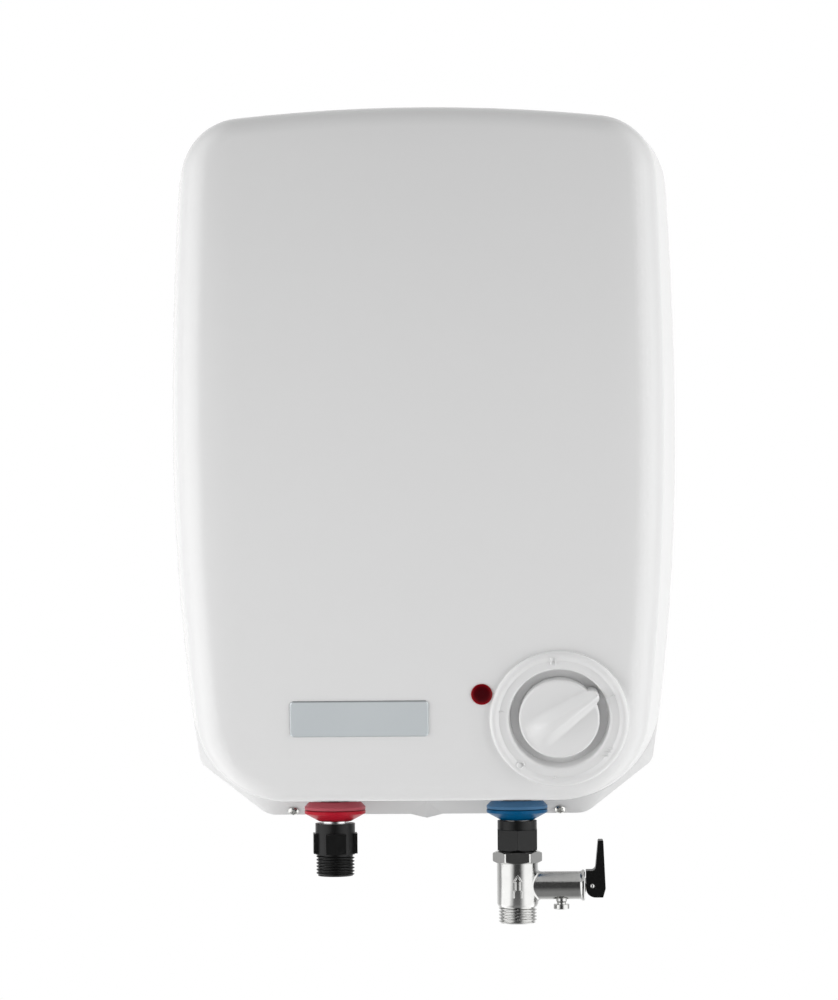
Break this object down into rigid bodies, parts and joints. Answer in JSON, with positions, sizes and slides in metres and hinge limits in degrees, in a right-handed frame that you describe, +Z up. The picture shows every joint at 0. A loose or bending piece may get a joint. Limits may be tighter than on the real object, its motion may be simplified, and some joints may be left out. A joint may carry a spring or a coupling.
{
  "type": "storage water heater",
  "caption": "Small wall-hung electric storage water heater: rounded white body with crowned front, dial, lamp, two bottom pipes with collars and a lever safety valve.",
  "frame": {"origin": "on the wall plane, half way between the two slots of the wall bracket", "axes": "+Y into the wall, +Z up, +X to the right seen from the front; the front looks along -Y"},
  "size_m": [0.278, 0.236, 0.4486],
  "materials": {
    "cover_plastic": "smooth white moulded plastic",
    "casing_plastic": "fine-textured white moulded plastic",
    "zinc_screws": "zinc-plated steel",
    "badge_metal": "satin silver plate",
    "knob_plastic": "white moulded plastic",
    "steel": "bright steel",
    "black_plastic": "black moulded plastic",
    "lamp_red": "clear red lens",
    "enamel_steel": "enamelled steel",
    "foam": "rigid insulating foam",
    "rubber": "black rubber",
    "copper": "copper",
    "magnesium": "cast magnesium",
    "red_plastic": "red plastic",
    "zinc_sheet": "zinc-plated sheet steel",
    "terminal_plastic": "pale moulded plastic",
    "pipe_steel": "stainless steel",
    "collar_red": "red moulded plastic",
    "collar_blue": "blue moulded plastic",
    "fitting_black": "black moulded plastic",
    "valve_plated": "nickel-plated brass",
    "brass": "turned brass",
    "lever_black": "black moulded plastic"
  },
  "bodies": {
    "heater": {"front_cover": "cover_plastic", "rear_casing": "casing_plastic", "cover_screws": "zinc_screws", "badge_plate": "badge_metal", "thermostat_body": "black_plastic", "thermostat_screws": "zinc_screws", "lamp_lens": "lamp_red", "lamp_holder": "black_plastic", "inner_tank": "enamel_steel", "insulation_front": "foam", "insulation_rear": "foam", "heater_flange": "steel", "flange_gasket": "rubber", "flange_bolts": "zinc_screws", "heating_element": "copper", "thermostat_pocket": "copper", "sensor_bulb": "copper", "anode_rod": "magnesium", "anode_nut": "zinc_screws", "thermal_cutout": "black_plastic", "reset_spring": "steel", "wall_bracket": "zinc_sheet", "bracket_bolts": "zinc_screws", "tank_strap": "zinc_sheet", "wall_spacers": "rubber", "cable_gland": "casing_plastic", "gland_nut": "casing_plastic", "terminal_block": "terminal_plastic", "hot_pipe": "pipe_steel", "cold_pipe": "pipe_steel", "inlet_diffuser": "black_plastic", "hot_collar": "collar_red", "cold_collar": "collar_blue", "hot_fitting": "fitting_black", "cold_union": "fitting_black", "hot_seal": "rubber", "cold_seal": "rubber", "valve_body": "valve_plated", "drain_nozzle": "valve_plated", "valve_bonnet": "valve_plated", "relief_seal": "rubber", "relief_spring": "steel", "check_guide": "brass", "check_spring": "steel"},
    "knob": {"thermostat_knob": "knob_plastic", "thermostat_shaft": "steel"},
    "stem": {"valve_stem": "brass", "lever_pin": "steel"},
    "lever": {"relief_lever": "lever_black"},
    "poppet": {"check_poppet": "black_plastic"},
    "button": {"reset_button": "red_plastic"}
  },
  "joints": [
    {"name": "knob_turn", "type": "hinge", "parent": "heater", "child": "knob", "pos_m": [0.072, -0.22165, -0.2709], "axis": [0, -0.9783, -0.2074], "range_deg": [-69.5, 196.2]},
    {"name": "stem_slide", "type": "slide", "parent": "heater", "child": "stem", "axis": [1, 0, 0], "range_m": [0, 0.0031], "deforming": ["relief_spring"]},
    {"name": "lever_lift", "type": "hinge", "parent": "stem", "child": "lever", "pos_m": [0.0909, -0.118, -0.3678], "axis": [0, 1, 0], "range_deg": [0, 90], "stiffness_Nm_per_rad": 0.05, "springref_deg": -20.05},
    {"name": "check_valve", "type": "slide", "parent": "heater", "child": "poppet", "axis": [0, 0, 1], "range_m": [0, 0.003], "stiffness_N_per_m": 60, "springref_m": -0.004, "deforming": ["check_spring"]},
    {"name": "reset_press", "type": "slide", "parent": "heater", "child": "button", "axis": [0, 0, 1], "range_m": [0, 0.0015], "stiffness_N_per_m": 300, "springref_m": -0.0015, "deforming": ["reset_spring"]}
  ],
  "couplings": [
    {"joint": "stem_slide", "follows": "lever_lift", "m_per_rad": 0.0019417}
  ]
}
